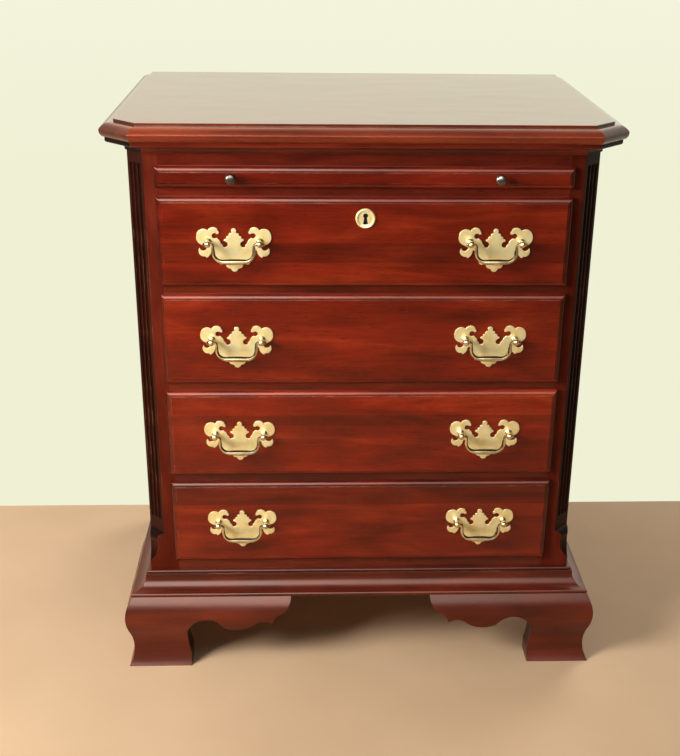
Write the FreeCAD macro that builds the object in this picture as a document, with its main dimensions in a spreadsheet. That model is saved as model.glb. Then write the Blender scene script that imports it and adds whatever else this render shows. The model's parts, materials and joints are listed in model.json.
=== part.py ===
import FreeCAD, Part
import os
import re
import Sketcher
from FreeCAD import Placement, Rotation, Vector

# A chest-shaped nightstand: four lipped drawers with batwing pulls, a pull-out slide under the top,
# canted and fluted front corners, and ogee bracket feet. Millimetres, X across, Y to the back, Z up.
# The origin is on the floor, under the middle of the whole piece.

# Driving dimensions
SIZES = {
    # Case
    "case_width": 576,
    "case_depth": 412,
    "side_thickness": 19,
    "back_thickness": 6,
    "back_rabbet": 10,
    "post_depth": 45,
    "rail_depth": 65,
    "rail_thickness": 20,
    "bottom_thickness": 12,
    "cant_leg": 21,
    "flute_radius": 3.2,
    "flute_depth": 2.2,
    "flute_pitch": 7.6,
    "flute_start": 214,
    "flute_margin": 16,
    "tongue_top": 192,
    "tongue_step": 178,
    "tongue_foot": 150,
    "tongue_step_depth": 8.5,
    # Heights of the front, from the floor up
    "foot_height": 106.5,
    "base_height": 30,
    "plinth_gap": 16,
    "drawer_front_height": 119.5,
    "top_drawer_front_height": 112,
    "slide_front_height": 26,
    "front_gap": 11,
    "frieze_height": 32,
    # Top panel and its moulded edge
    "top_thickness": 20,
    "top_flat_out": 13,
    "top_fillet": 3.5,
    "top_ledge": 3.5,
    "top_nose_out": 30,
    "top_nose_height": 9,
    "top_under_out": 26,
    # Cornice moulding under the top
    "cornice_height": 17,
    "cornice_band": 7,
    "cornice_band_out": 24,
    "cornice_round": 3,
    "cornice_cove_out": 11,
    "cornice_foot_out": 2,
    # Base moulding
    "base_bead": 4,
    "base_bead_out": 6,
    "base_fillet": 4,
    "base_cove_out": 7,
    "base_cove_end": 22,
    "base_band": 5,
    "base_out": 26,
    # Ogee section of the feet, as distances out from the case
    "foot_top_out": 24,
    "foot_bulge": 35,
    "foot_bulge_height": 77,
    "foot_neck_out": 26,
    "foot_neck_height": 29,
    "foot_toe_out": 33.5,
    "foot_stock": 38,
    # Scroll cut of the feet, as distances in from the case corner and down from the moulding
    "bracket_length": 192.6,
    "cove_end": 181.6,
    "cove_end_drop": 22.8,
    "point_reach": 166.4,
    "point_drop": 39.4,
    "lobe_end": 141,
    "lobe_end_drop": 41.1,
    "arch_end": 99.5,
    "arch_end_drop": 45.5,
    "arch_start": 48.6,
    "arch_start_drop": 54.5,
    "ankle_height": 18,
    "pad_length": 53,
    "side_bracket_length": 165,
    "brace_length": 110,
    "brace_thickness": 16,
    "block_size": 35,
    "block_lift": 3,
    # Runners
    "runner_bearing": 16,
    "guide_height": 12,
    # Lipped fronts, which leave a stile bare at each side
    "stile_width": 34,
    "lip_overlap": 4.5,
    "lip_gap": 0.3,
    "lip_thickness": 8,
    "lip_mould": 6.5,
    "lip_fillet": 1,
    "lip_edge": 2.5,
    "front_inset": 12,
    "drawer_clearance": 0.6,
    # Drawer boxes and slide
    "drawer_back_gap": 21,
    "drawer_stock": 12,
    "drawer_side_drop": 12,
    "drawer_bottom": 5,
    "bottom_lift": 8,
    "groove_depth": 5,
    "slide_back_gap": 21,
    "slide_thickness": 14,
    # Pulls
    "pull_spread": 321,
    "pull_lift": 2,
    "post_spacing": 63,
    "post_shank_radius": 2.5,
    "post_eye_radius": 4.6,
    "post_eye_width": 7,
    "post_standoff": 12,
    "post_seat": 14,
    "plate_width": 91,
    "plate_rise": 18,
    "plate_drop": 38,
    "plate_thickness": 1.6,
    "bail_span": 49.5,
    "bail_drop": 22,
    "bail_bend": 10,
    "bail_radius": 1.7,
    "grip_radius": 3,
    "grip_half": 14,
    "pin_radius": 1.6,
    "pin_clearance": 0.05,
    "pin_reach": 37.6,
    "hole_clearance": 0.2,
    # Slide knobs
    "knob_spread": 324,
    "knob_radius": 6.5,
    "knob_neck_radius": 3.2,
    "knob_neck": 7,
    "knob_crown": 5,
    # Lock on the top drawer
    "escutcheon_drop": 25,
    "escutcheon_radius": 12.4,
    "escutcheon_rim": 2.2,
    "escutcheon_dish_radius": 9.6,
    "escutcheon_dish": 1.2,
    "keyhole_radius": 3,
    "keyhole_lift": 3.4,
    "keyhole_neck": 1.7,
    "keyhole_flare": 3,
    "keyhole_drop": 7.3,
    "lock_width": 56,
    "lock_height": 46,
    "lock_depth": 11,
    "bolt_width": 22,
    "bolt_depth": 5,
    "bolt_length": 28,
    "bolt_throw": 7,
    "bolt_clearance": 0.4,
    "mortise_clearance": 1,
}

doc = FreeCAD.newDocument("nightstand")
sheet = doc.addObject("Spreadsheet::Sheet", "sizes")
for row, (alias, size) in enumerate(SIZES.items(), start=1):
    sheet.set(f"A{row}", alias)
    sheet.set(f"B{row}", str(size))
    sheet.setAlias(f"B{row}", alias)
doc.recompute()

ALIASES = re.compile(r"\b(" + "|".join(SIZES) + r")\b")
pieces = []

# Longer than any piece, for runs that are cut to length
LONG = "(2 * (case_width + case_depth))"

# Arc bends, as the height of the arc over half its chord
QUARTER_ROUND = 0.4142
NOSE_UNDER = 0.3
NOSE_OVER = 0.25
BEAD = 0.8
NOSING = 0.5
TONGUE_TOP = 0.45
TONGUE_FOOT = 0.2
BRACKET_END = 0.2
BRACKET_COVE = 0.27
BRACKET_HOLLOW = 0.39
BRACKET_LOBE = 0.31
BRACKET_ARCH = 0.71
BRACKET_LEG = 0.085
SIDE_COVE = 0.35

# Flats that stand for a round: small brass bars, the escutcheon's dish and the corners of a bail
BRASS_SIDES = 8
DISH_SIDES = 24
BAIL_BEND_STEPS = 3


def full(expression):
    """An expression with each size's cell named in full."""
    return ALIASES.sub(r"sizes.\1", str(expression))


def bind(item, prop, expression):
    item.setExpression(prop, full(expression))


def number(expression):
    return float(sheet.evalExpression(full(expression)))


def piece(label, item):
    """Names a finished sub-part."""
    item.Label = label
    pieces.append(item)
    return item


# Solids

def place(item, at, turn=None):
    """Puts an item at three bound coordinates, turned by a fixed rotation."""
    if turn is not None:
        item.Placement = Placement(Vector(), turn)
    for axis, expression in zip("xyz", at):
        bind(item, f"Placement.Base.{axis}", expression)
    return item


def box(name, x, y, z):
    """A board between (low, high) limits on each axis."""
    board = doc.addObject("Part::Box", name)
    for side, (low, high) in zip(("Length", "Width", "Height"), (x, y, z)):
        bind(board, side, f"({high}) - ({low})")
    return place(board, (x[0], y[0], z[0]))


ALONG = {
    "x": Rotation(Vector(0, 0, 1), Vector(1, 0, 0)),
    "y": Rotation(Vector(0, 0, 1), Vector(0, 1, 0)),
    "z": Rotation(),
}


def rod(name, along, start, radius, length):
    """A round rod from the centre of its start face."""
    cylinder = doc.addObject("Part::Cylinder", name)
    bind(cylinder, "Radius", radius)
    bind(cylinder, "Height", length)
    return place(cylinder, start, ALONG[along])


def bar(name, sides, along, start, radius, length, twist=0):
    """A bar with flat sides, whose corners lie on a radius, twisted about its own axis."""
    stick = doc.addObject("Part::Prism", name)
    stick.Polygon = sides
    bind(stick, "Circumradius", radius)
    bind(stick, "Height", length)
    return place(stick, start, ALONG[along].multiply(Rotation(Vector(0, 0, 1), twist)))


def origin_plane(body, role):
    return next(feature for feature in body.Origin.OriginFeatures if feature.Role == role)


def arc_between(start, end, bend):
    """Arc edge that leaves the chord by bend times half its length, to the right for a bend above zero."""
    chord = end - start
    middle = (start + end) * 0.5 + Vector(chord.y, -chord.x, 0) * (bend / 2)
    return Part.Arc(start, middle, end)


def flat_sketch(body, role, name):
    outline = body.newObject("Sketcher::SketchObject", f"{body.Name}_{name}")
    outline.AttachmentSupport = [(origin_plane(body, role), "")]
    outline.MapMode = "FlatFace"
    return outline


def pin_point(outline, edge, end, across, up):
    """Holds an edge's end at bound coordinates."""
    hold(outline, Sketcher.Constraint("DistanceX", edge, end, number(across)), across)
    hold(outline, Sketcher.Constraint("DistanceY", edge, end, number(up)), up)


def sketch(body, role, corners, name="profile"):
    """Closed outline of lines and arcs on an origin plane. A corner is (across, up, bend), where the bend
    shapes the edge to the next corner and None leaves it straight."""
    outline = flat_sketch(body, role, name)
    points = [Vector(number(across), number(up), 0) for across, up, bend in corners]
    count = len(corners)
    ends = []
    for index, (across, up, bend) in enumerate(corners):
        start = points[index]
        end = points[(index + 1) % count]
        if bend is None:
            outline.addGeometry(Part.LineSegment(start, end), False)
        else:
            outline.addGeometry(arc_between(start, end, number(bend)), False)
        forward = bend is None or number(bend) > 0
        ends.append((1, 2) if forward else (2, 1))
    for index, (across, up, bend) in enumerate(corners):
        following = (index + 1) % count
        first, last = ends[index]
        outline.addConstraint(Sketcher.Constraint("Coincident", index, last, following, ends[following][0]))
        pin_point(outline, index, first, across, up)
        if bend is not None:
            radius = arc_radius(corners[index], corners[following])
            hold(outline, Sketcher.Constraint("Radius", index, number(radius)), radius)
    return outline


def path_sketch(body, role, corners, name="path"):
    """Open path of straight lines through (across, up) corners."""
    outline = flat_sketch(body, role, name)
    points = [Vector(number(across), number(up), 0) for across, up in corners]
    for index, (start, end) in enumerate(zip(points, points[1:])):
        outline.addGeometry(Part.LineSegment(start, end), False)
        pin_point(outline, index, 1, *corners[index])
        if index:
            outline.addConstraint(Sketcher.Constraint("Coincident", index - 1, 2, index, 1))
    pin_point(outline, len(points) - 2, 2, *corners[-1])
    return outline


def hold(outline, constraint, expression):
    """Adds a constraint whose value follows an expression."""
    index = outline.addConstraint(constraint)
    bind(outline, f"Constraints[{index}]", expression)


def arc_radius(corner, following):
    across, up, bend = corner
    chord = f"sqrt((({following[0]}) - ({across}))^2 + (({following[1]}) - ({up}))^2)"
    return f"{chord} * (1 + ({bend})^2) / (4 * abs({bend}))"


def prism(name, role, corners, length, at=("0", "0", "0"), turn=None, midplane=True):
    """An outline padded both ways from its plane, or one way."""
    body = doc.addObject("PartDesign::Body", name)
    outline = sketch(body, role, corners)
    pad = body.newObject("PartDesign::Pad", f"{name}_pad")
    pad.Profile = outline
    bind(pad, "Length", length)
    pad.Midplane = midplane
    return place(body, at, turn)


def turned(name, corners, at, along):
    """A turned piece: an outline of (radius, height) corners round the Z axis, laid along an axis."""
    body = doc.addObject("PartDesign::Body", name)
    outline = sketch(body, "XZ_Plane", corners)
    revolution = body.newObject("PartDesign::Revolution", f"{name}_turn")
    revolution.Profile = outline
    revolution.ReferenceAxis = (outline, ["V_Axis"])
    revolution.Angle = 360
    return place(body, at, along)


def cut(name, base, *tools):
    for index, tool in enumerate(tools):
        result = doc.addObject("Part::Cut", f"{name}_cut_{index}")
        result.Base = base
        result.Tool = tool
        base = result
    return base


def common(name, first, *others):
    for index, other in enumerate(others):
        result = doc.addObject("Part::Common", f"{name}_common_{index}")
        result.Base = first
        result.Tool = other
        first = result
    return first


def fuse(name, *members):
    result = doc.addObject("Part::MultiFuse", name)
    result.Shapes = members
    return result


def mirrored(name, source):
    """The same piece on the other side of the middle."""
    result = doc.addObject("Part::Mirroring", name)
    result.Source = source
    result.Normal = Vector(1, 0, 0)
    return result


def group(name, *members):
    """Separate solids that share a node."""
    result = doc.addObject("Part::Compound", name)
    result.Links = members
    return result


def linked(name, source, at):
    """Another copy of a piece."""
    link = doc.addObject("App::Link", name)
    link.LinkedObject = source
    return place(link, at)


# Outlines

def flipped(bend):
    return None if bend is None else f"-({bend})"


def low_side(edge, centre):
    """An edge turned over to the low side of a centre, and followed from its end back to its start."""
    bends = [bend for across, up, bend in reversed(edge[:-1])] + [None]
    return [(f"{centre} - ({across})", up, bend) for (across, up, kept), bend in zip(reversed(edge), bends)]


def both_sides(edge, centre="0"):
    """Closed outline with an edge on the high side of a centre and its mirror image on the low side."""
    return outwards(edge, centre) + low_side(edge, centre)


def turned_over(outline):
    return [(across, up, flipped(bend)) for across, up, bend in outline]


def swapped(outline):
    return [(up, across, flipped(bend)) for across, up, bend in outline]


def outwards(profile, face):
    """A moulding profile standing out from a face in the positive direction."""
    return [(f"{face} + ({out})", up, bend) for out, up, bend in profile]


def forwards(profile, face):
    """A moulding profile standing out from a face in the negative direction."""
    return [(f"{face} - ({out})", up, flipped(bend)) for out, up, bend in profile]


def straight(points):
    return [(across, up, None) for across, up in points]


# Shared places

FRONT = "((foot_bulge - case_depth) / 2)"
BACK = "((foot_bulge + case_depth) / 2)"
HALF = "(case_width / 2)"
FRONT_HALF = f"({HALF} - stile_width)"
OPENING = f"({FRONT_HALF} - lip_overlap)"
INSIDE = f"({HALF} - side_thickness)"
CANT_START = f"({HALF} - cant_leg)"
RIGHT_CANT = Rotation(Vector(0, 0, 1), -45)
LEFT_CANT = Rotation(Vector(0, 0, 1), -135)
CANT_FACE = f"(({CANT_START} - {FRONT}) / sqrt(2))"
MITRE = "tan(22.5 deg)"

# Fronts, from the lowest drawer up to the slide
SLIDE = "slide"
TOP_DRAWER = "drawer_1"
BOTTOM_DRAWER = "drawer_4"
DRAWERS = (BOTTOM_DRAWER, "drawer_3", "drawer_2", TOP_DRAWER)
FRONT_HEIGHT = {drawer: "drawer_front_height" for drawer in DRAWERS}
FRONT_HEIGHT[TOP_DRAWER] = "top_drawer_front_height"
FRONT_HEIGHT[SLIDE] = "slide_front_height"
LIP_LOW = {}
LIP_HIGH = {}
level = "(foot_height + base_height + plinth_gap)"
for row, height in FRONT_HEIGHT.items():
    LIP_LOW[row] = level
    LIP_HIGH[row] = f"({level} + {height})"
    level = f"({level} + {height} + front_gap)"
CASE_TOP = f"({LIP_HIGH[SLIDE]} + frieze_height)"
TOP = f"({CASE_TOP} + top_thickness)"
OPENING_LOW = {row: f"({low} + lip_overlap)" for row, low in LIP_LOW.items()}
OPENING_HIGH = {row: f"({high} - lip_overlap)" for row, high in LIP_HIGH.items()}
MIDDLE = {row: f"(({low} + {LIP_HIGH[row]}) / 2)" for row, low in LIP_LOW.items()}
CASE_LEVELS = ("foot_height", CASE_TOP)


# Top panel

def make_top():
    """One board, moulded on the front, the canted corners and the ends, and plain at the back."""
    ledge = f"({TOP} - top_fillet)"
    edge = [
        ("top_under_out", CASE_TOP, NOSE_UNDER),
        ("top_nose_out", f"{CASE_TOP} + top_nose_height", NOSE_OVER),
        ("top_flat_out + top_ledge", ledge, None),
        ("top_flat_out", ledge, None),
        ("top_flat_out", TOP, None),
    ]
    ends = prism("top_ends", "XZ_Plane", both_sides(outwards(edge, HALF)), LONG)
    front = straight([(BACK, CASE_TOP), (BACK, TOP)]) + low_side(edge, FRONT)
    length = prism("top_length", "YZ_Plane", front, LONG)
    corner = outwards(edge, CANT_FACE) + straight([(f"-{LONG}", TOP), (f"-{LONG}", CASE_TOP)])
    right = prism("top_right_cant", "XZ_Plane", corner, LONG, turn=RIGHT_CANT)
    left = prism("top_left_cant", "XZ_Plane", corner, LONG, turn=LEFT_CANT)
    piece("top_panel", common("top", length, ends, right, left))


# Mouldings

def wedge(name, corners):
    """Upright block whose plan cuts a moulding run to its mitres."""
    return prism(name, "XY_Plane", straight(corners), TOP, midplane=False)


def make_cornice():
    low = f"({CASE_TOP} - cornice_height)"
    step = f"({CASE_TOP} - cornice_band)"
    profile = [
        ("0", low, None),
        ("cornice_foot_out", low, -QUARTER_ROUND),
        ("cornice_cove_out", step, None),
        ("cornice_band_out - cornice_round", step, QUARTER_ROUND),
        ("cornice_band_out", f"{step} + cornice_round", None),
        ("cornice_band_out", CASE_TOP, None),
        ("0", CASE_TOP, None),
    ]
    reach = "cornice_band_out"
    front_corner = (f"{CANT_START} + {MITRE} * {reach}", f"{FRONT} - {reach}")
    side_corner = (f"{HALF} + {reach}", f"{FRONT} + cant_leg - {MITRE} * {reach}")
    front = prism("cornice_front_run", "YZ_Plane", forwards(profile, FRONT), LONG)
    plan = [(f"-({CANT_START})", FRONT), (f"-({front_corner[0]})", front_corner[1]), front_corner,
            (CANT_START, FRONT)]
    piece("cornice_front", common("cornice_front_piece", front, wedge("cornice_front_plan", plan)))
    cant = prism("cornice_cant_run", "XZ_Plane", outwards(profile, CANT_FACE), LONG, turn=RIGHT_CANT)
    plan = [(CANT_START, FRONT), front_corner, side_corner, (HALF, f"{FRONT} + cant_leg")]
    right = common("cornice_right_cant", cant, wedge("cornice_cant_plan", plan))
    piece("cornice_cants", group("cornice_cants", right, mirrored("cornice_left_cant", right)))
    side = prism("cornice_side_run", "XZ_Plane", outwards(profile, HALF), LONG)
    plan = [(HALF, f"{FRONT} + cant_leg"), side_corner, (f"{HALF} + {reach}", BACK), (HALF, BACK)]
    right = common("cornice_right_side", side, wedge("cornice_side_plan", plan))
    piece("cornice_sides", group("cornice_sides", right, mirrored("cornice_left_side", right)))


def make_base_moulding():
    top = "(foot_height + base_height)"
    fillet_top = f"({top} - base_bead)"
    cove_top = f"({fillet_top} - base_fillet)"
    band_top = "(foot_height + base_band)"
    band_edge = f"(base_out - {NOSING} * base_band / 2)"
    profile = [
        ("0", "foot_height", None),
        (band_edge, "foot_height", NOSING),
        (band_edge, band_top, None),
        ("base_cove_end", band_top, -QUARTER_ROUND),
        ("base_cove_out", cove_top, None),
        ("base_cove_out", fillet_top, None),
        ("base_bead_out - base_bead / 2", fillet_top, BEAD),
        ("base_bead_out - base_bead / 2", top, None),
        ("0", top, None),
    ]
    corner = (f"{HALF} + base_out", f"{FRONT} - base_out")
    front = prism("base_front_run", "YZ_Plane", forwards(profile, FRONT), LONG)
    plan = [(f"-{HALF}", FRONT), (f"-({corner[0]})", corner[1]), corner, (HALF, FRONT)]
    piece("base_moulding_front", common("base_front_piece", front, wedge("base_front_plan", plan)))
    side = prism("base_side_run", "XZ_Plane", outwards(profile, HALF), LONG)
    plan = [(HALF, FRONT), corner, (corner[0], BACK), (HALF, BACK)]
    right = common("base_right_piece", side, wedge("base_side_plan", plan))
    piece("base_moulding_sides", group("base_sides", right, mirrored("base_left_piece", right)))


# Feet

FOOT_INNER = "(foot_bulge - foot_stock)"


def tangent_bend(out, up):
    """Bend of an arc that starts or ends upright and goes out and up by these amounts."""
    return f"tan(atan(({out}) / ({up})) / 2)"


def ogee_section():
    sway = tangent_bend("(foot_bulge - foot_neck_out) / 2", "(foot_bulge_height - foot_neck_height) / 2")
    middle = ("(foot_neck_out + foot_bulge) / 2", "(foot_neck_height + foot_bulge_height) / 2")
    shoulder = tangent_bend("foot_bulge - foot_top_out", "foot_height - foot_bulge_height")
    return [
        (FOOT_INNER, "0", None),
        ("foot_toe_out", "0", flipped(tangent_bend("foot_toe_out - foot_neck_out", "foot_neck_height"))),
        ("foot_neck_out", "foot_neck_height", flipped(sway)),
        middle + (sway,),
        ("foot_bulge", "foot_bulge_height", shoulder),
        ("foot_top_out", "foot_height", None),
        (FOOT_INNER, "foot_height", None),
    ]


def scroll_outline(end, corner, inwards):
    """Elevation of a bracket, from its outer end over the top and back along the scroll cut. The inwards
    function places a distance in from the case corner."""
    below = "foot_height - {}".format
    scroll = end + [
        (inwards("lobe_end"), below("lobe_end_drop"), BRACKET_LOBE),
        (inwards("arch_end"), below("arch_end_drop"), -BRACKET_ARCH),
        (inwards("arch_start"), below("arch_start_drop"), -BRACKET_LEG),
        (inwards("pad_length"), "ankle_height", None),
        (inwards("pad_length"), "0", None),
    ]
    return straight([(corner, "0"), (corner, "foot_height")]) + scroll


def side_end(inwards):
    return [(inwards("side_bracket_length"), "foot_height", -SIDE_COVE)]


def make_feet():
    section = ogee_section()
    reach = "foot_stock"

    def from_side(distance):
        return f"{HALF} - {distance}"

    def from_front(distance):
        return f"{FRONT} + {distance}"

    def from_back(distance):
        return f"{BACK} - {distance}"

    front_run = prism("foot_front_run", "YZ_Plane", forwards(section, FRONT), LONG)
    side_run = prism("foot_side_run", "XZ_Plane", outwards(section, HALF), LONG)
    face_end = [
        (from_side("bracket_length"), "foot_height", BRACKET_END),
        (from_side("cove_end"), "foot_height - cove_end_drop", -BRACKET_COVE),
        (from_side("point_reach"), "foot_height - point_drop", -BRACKET_HOLLOW),
    ]
    face_scroll = prism("foot_face_scroll", "XZ_Plane",
                        scroll_outline(face_end, f"{HALF} + {reach}", from_side), LONG)
    plan = [(f"{HALF} - {reach}", f"{FRONT} + {reach}"), ("0", f"{FRONT} + {reach}"),
            ("0", f"{FRONT} - {reach}"), (f"{HALF} + {reach}", f"{FRONT} - {reach}")]
    right = common("right_foot_face", front_run, face_scroll, wedge("foot_face_plan", plan))
    piece("front_foot_faces", group("front_foot_faces", right, mirrored("left_foot_face", right)))

    outline = scroll_outline(side_end(from_front), f"{FRONT} - {reach}", from_front)
    return_scroll = prism("foot_return_scroll", "YZ_Plane", turned_over(outline), LONG)
    plan = [(f"{HALF} - {reach}", f"{FRONT} + {reach}"), (f"{HALF} + {reach}", f"{FRONT} - {reach}"),
            (f"{HALF} + {reach}", BACK), (f"{HALF} - {reach}", BACK)]
    right = common("right_foot_return", side_run, return_scroll, wedge("foot_return_plan", plan))
    piece("front_foot_returns", group("front_foot_returns", right, mirrored("left_foot_return", right)))

    rear_scroll = prism("foot_rear_scroll", "YZ_Plane",
                        scroll_outline(side_end(from_back), BACK, from_back), LONG)
    plan = [(f"{HALF} - {reach}", "0"), (f"{HALF} + {reach}", "0"), (f"{HALF} + {reach}", BACK),
            (f"{HALF} - {reach}", BACK)]
    right = common("right_rear_foot", side_run, rear_scroll, wedge("foot_rear_plan", plan))
    piece("rear_feet", group("rear_feet", right, mirrored("left_rear_foot", right)))

    inner = f"({HALF} + {FOOT_INNER})"
    brace_outline = straight([(inner, "0"), (inner, "foot_height"),
                              (from_side("brace_length"), "foot_height"), (from_side("pad_length"), "0")])
    right = prism("right_rear_brace", "XZ_Plane", brace_outline, "brace_thickness",
                  at=("0", f"{BACK} - brace_thickness / 2", "0"))
    piece("rear_foot_braces", group("rear_braces", right, mirrored("left_rear_brace", right)))

    across = (f"{inner} - block_size", inner)
    up = ("block_lift", "foot_height")
    front_face = f"({FRONT} - {FOOT_INNER})"
    rear_face = f"({BACK} - brace_thickness)"
    front = box("right_front_block", across, (front_face, f"{front_face} + block_size"), up)
    rear = box("right_rear_block", across, (f"{rear_face} - block_size", rear_face), up)
    blocks = [front, rear, mirrored("left_front_block", front), mirrored("left_rear_block", rear)]
    piece("foot_glue_blocks", group("foot_blocks", *blocks))


# Case

def make_posts():
    """Front corner posts, canted between the cornice and a lamb's-tongue stop. The cant has three flutes
    with sloped stops."""
    blank = box("post_blank", (OPENING, HALF), (FRONT, f"{FRONT} + post_depth"), CASE_LEVELS)
    over = f"({CASE_TOP} + cant_leg)"
    depth = "cant_leg / sqrt(2)"
    cant_outline = [
        ("cant_leg", "tongue_foot", None),
        ("cant_leg", over, None),
        (f"-{depth}", over, None),
        (f"-{depth}", "tongue_top", -TONGUE_TOP),
        ("-tongue_step_depth", "tongue_step", TONGUE_FOOT),
        ("0", "tongue_foot", None),
    ]
    tools = [prism("post_cant", "XZ_Plane", cant_outline, "3 * cant_leg", (HALF, FRONT, "0"), RIGHT_CANT)]
    head = f"({CASE_TOP} - cornice_height - flute_margin)"
    proud = "(flute_radius - flute_depth)"
    flutes = []
    for step in (-1, 0, 1):
        x = f"{HALF} - cant_leg / 2 + ({step} * flute_pitch + {proud}) / sqrt(2)"
        y = f"{FRONT} + cant_leg / 2 + ({step} * flute_pitch - {proud}) / sqrt(2)"
        flutes.append(rod("flute", "z", (x, y, "flute_start - flute_depth"), "flute_radius",
                          f"{head} - flute_start + 2 * flute_depth"))
    slope = f"({depth} + flute_depth)"
    stops_outline = straight([(f"-{slope}", "flute_start"), ("0", f"flute_start - {slope}"),
                              ("0", f"{head} + {slope}"), (f"-{slope}", head)])
    stops = prism("flute_stops", "XZ_Plane", stops_outline, "3 * cant_leg", (HALF, FRONT, "0"), RIGHT_CANT)
    tools.append(common("stopped_flutes", fuse("flutes", *flutes), stops))
    right = cut("right_post", blank, *tools)
    piece("right_corner_post", right)
    piece("left_corner_post", mirrored("left_post", right))


def make_panels():
    start = f"({FRONT} + post_depth)"
    rabbet = f"({INSIDE} + back_rabbet)"
    inner_back = f"({BACK} - back_thickness)"
    plan = straight([(INSIDE, start), (HALF, start), (HALF, BACK), (rabbet, BACK), (rabbet, inner_back),
                     (INSIDE, inner_back)])
    right = prism("right_side", "XY_Plane", plan, f"{CASE_TOP} - foot_height", ("0", "0", "foot_height"),
                  midplane=False)
    piece("right_side_panel", right)
    piece("left_side_panel", mirrored("left_side", right))
    piece("back_panel", box("back", (f"-{rabbet}", rabbet), (inner_back, BACK), CASE_LEVELS))
    piece("case_bottom", box("bottom", (f"-{INSIDE}", INSIDE), (start, inner_back),
                             ("foot_height", "foot_height + bottom_thickness")))


def rail(name, low, high, depth):
    return box(name, (f"-{OPENING}", OPENING), (FRONT, f"{FRONT} + {depth}"), (low, high))


BOLT_Y = f"({FRONT} + front_inset - lock_depth / 2)"


def make_rails():
    piece("frieze_rail", rail("frieze", OPENING_HIGH[SLIDE], CASE_TOP, "rail_thickness"))
    blank = rail("slide_rail_blank", OPENING_HIGH[TOP_DRAWER], OPENING_LOW[SLIDE], "rail_depth")
    wide = "(bolt_width / 2 + mortise_clearance)"
    deep = "(bolt_depth / 2 + mortise_clearance)"
    mortise = box("mortise", (f"-{wide}", wide), (f"{BOLT_Y} - {deep}", f"{BOLT_Y} + {deep}"),
                  (OPENING_HIGH[TOP_DRAWER],
                   f"{OPENING_HIGH[TOP_DRAWER]} + bolt_throw + mortise_clearance"))
    piece("slide_rail", cut("slide_rail", blank, mortise))
    rails = []
    for below, above in zip(DRAWERS, DRAWERS[1:]):
        rails.append(rail(f"{above}_rail", OPENING_HIGH[below], OPENING_LOW[above], "rail_depth"))
    piece("drawer_rails", group("drawer_rails", *rails))
    piece("bottom_rail", rail("bottom_rail", "foot_height", OPENING_LOW[BOTTOM_DRAWER], "post_depth"))


RUN = (f"{FRONT} + rail_depth", f"{BACK} - back_thickness")
RUNNER_X = (f"{OPENING} - runner_bearing", INSIDE)


def bearers(row):
    """The two runners of a row, level with the rail in front of them."""
    level = OPENING_LOW[row]
    return pair(f"left_bearer_{row}", box("bearer", RUNNER_X, RUN, (f"{level} - rail_thickness", level)))


def guides(row):
    """The two strips that stand on a row's runners and keep it straight."""
    level = OPENING_LOW[row]
    strip = box("guide", (OPENING, INSIDE), RUN, (level, f"{level} + guide_height"))
    return pair(f"left_guide_{row}", strip)


def pair(name, right):
    return [right, mirrored(name, right)]


def make_runners():
    piece("drawer_runners", group("drawer_runners", *[item for row in DRAWERS for item in bearers(row)]))
    piece("drawer_guides", group("drawer_guides", *[item for row in DRAWERS for item in guides(row)]))
    piece("slide_runners", group("slide_runners", *bearers(SLIDE)))
    piece("slide_guides", group("slide_guides", *guides(SLIDE)))
    level = OPENING_HIGH[SLIDE]
    kicker = box("kicker", RUNNER_X, RUN, (level, f"{level} + rail_thickness"))
    piece("slide_kickers", group("slide_kickers", *pair("left_kicker", kicker)))


# Slide and drawers

FACE = f"({FRONT} - lip_gap - lip_thickness)"
LIP_BACK = f"({FRONT} - lip_gap)"
INSET_BACK = f"({FRONT} + front_inset)"
INSET_HALF = f"({OPENING} - drawer_clearance)"


def lip_edge(half, inset):
    """Moulded lip, from the raised field round to the back of the inset, as (from the middle, depth)."""
    return [
        (f"{half} - lip_mould", FACE, None),
        (f"{half} - lip_mould", f"{FACE} + lip_fillet", QUARTER_ROUND),
        (half, f"{LIP_BACK} - lip_edge", None),
        (half, LIP_BACK, None),
        (inset, LIP_BACK, None),
        (inset, INSET_BACK, None),
    ]


def lipped_front(name, row):
    """A front whose moulded lip covers the edges of its opening."""
    tall = f"({FRONT_HEIGHT[row]} / 2)"
    ends = prism(f"{name}_ends", "XY_Plane", both_sides(lip_edge(FRONT_HALF, INSET_HALF)), LONG)
    upright = both_sides(lip_edge(tall, f"{tall} - lip_overlap - drawer_clearance"), MIDDLE[row])
    length = prism(f"{name}_length", "YZ_Plane", swapped(upright), LONG)
    return common(name, length, ends)


FORWARD = Rotation(Vector(1, 0, 0), 90)


def knob(x):
    """Mushroom knob on the face of the slide: a neck under a turned head."""
    neck = bar("knob_neck", BRASS_SIDES, "y", (x, f"{FACE} - knob_neck", MIDDLE[SLIDE]), "knob_neck_radius",
               "knob_neck")
    head_outline = straight([
        ("0", "0"),
        ("knob_radius", "0"),
        ("knob_radius", "knob_crown / 2"),
        ("knob_radius / 2", "knob_crown"),
        ("0", "knob_crown"),
    ])
    head = turned("knob_head", head_outline, (x, f"{FACE} - knob_neck", MIDDLE[SLIDE]), FORWARD)
    return fuse("knob", neck, head)


def make_slide():
    piece("slide_front", lipped_front("slide_front", SLIDE))
    half = "(slide_thickness / 2)"
    piece("slide_panel", box("slide_board", (f"-{INSET_HALF}", INSET_HALF),
                             (INSET_BACK, f"{BACK} - back_thickness - slide_back_gap"),
                             (f"{MIDDLE[SLIDE]} - {half}", f"{MIDDLE[SLIDE]} + {half}")))
    piece("slide_knobs", group("slide_knobs", knob("-(knob_spread / 2)"), knob("(knob_spread / 2)")))


BOX_INNER = f"({INSET_HALF} - drawer_stock)"
GROOVE = f"({BOX_INNER} + groove_depth)"
BOX_BACK = f"({BACK} - back_thickness - drawer_back_gap)"


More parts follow.
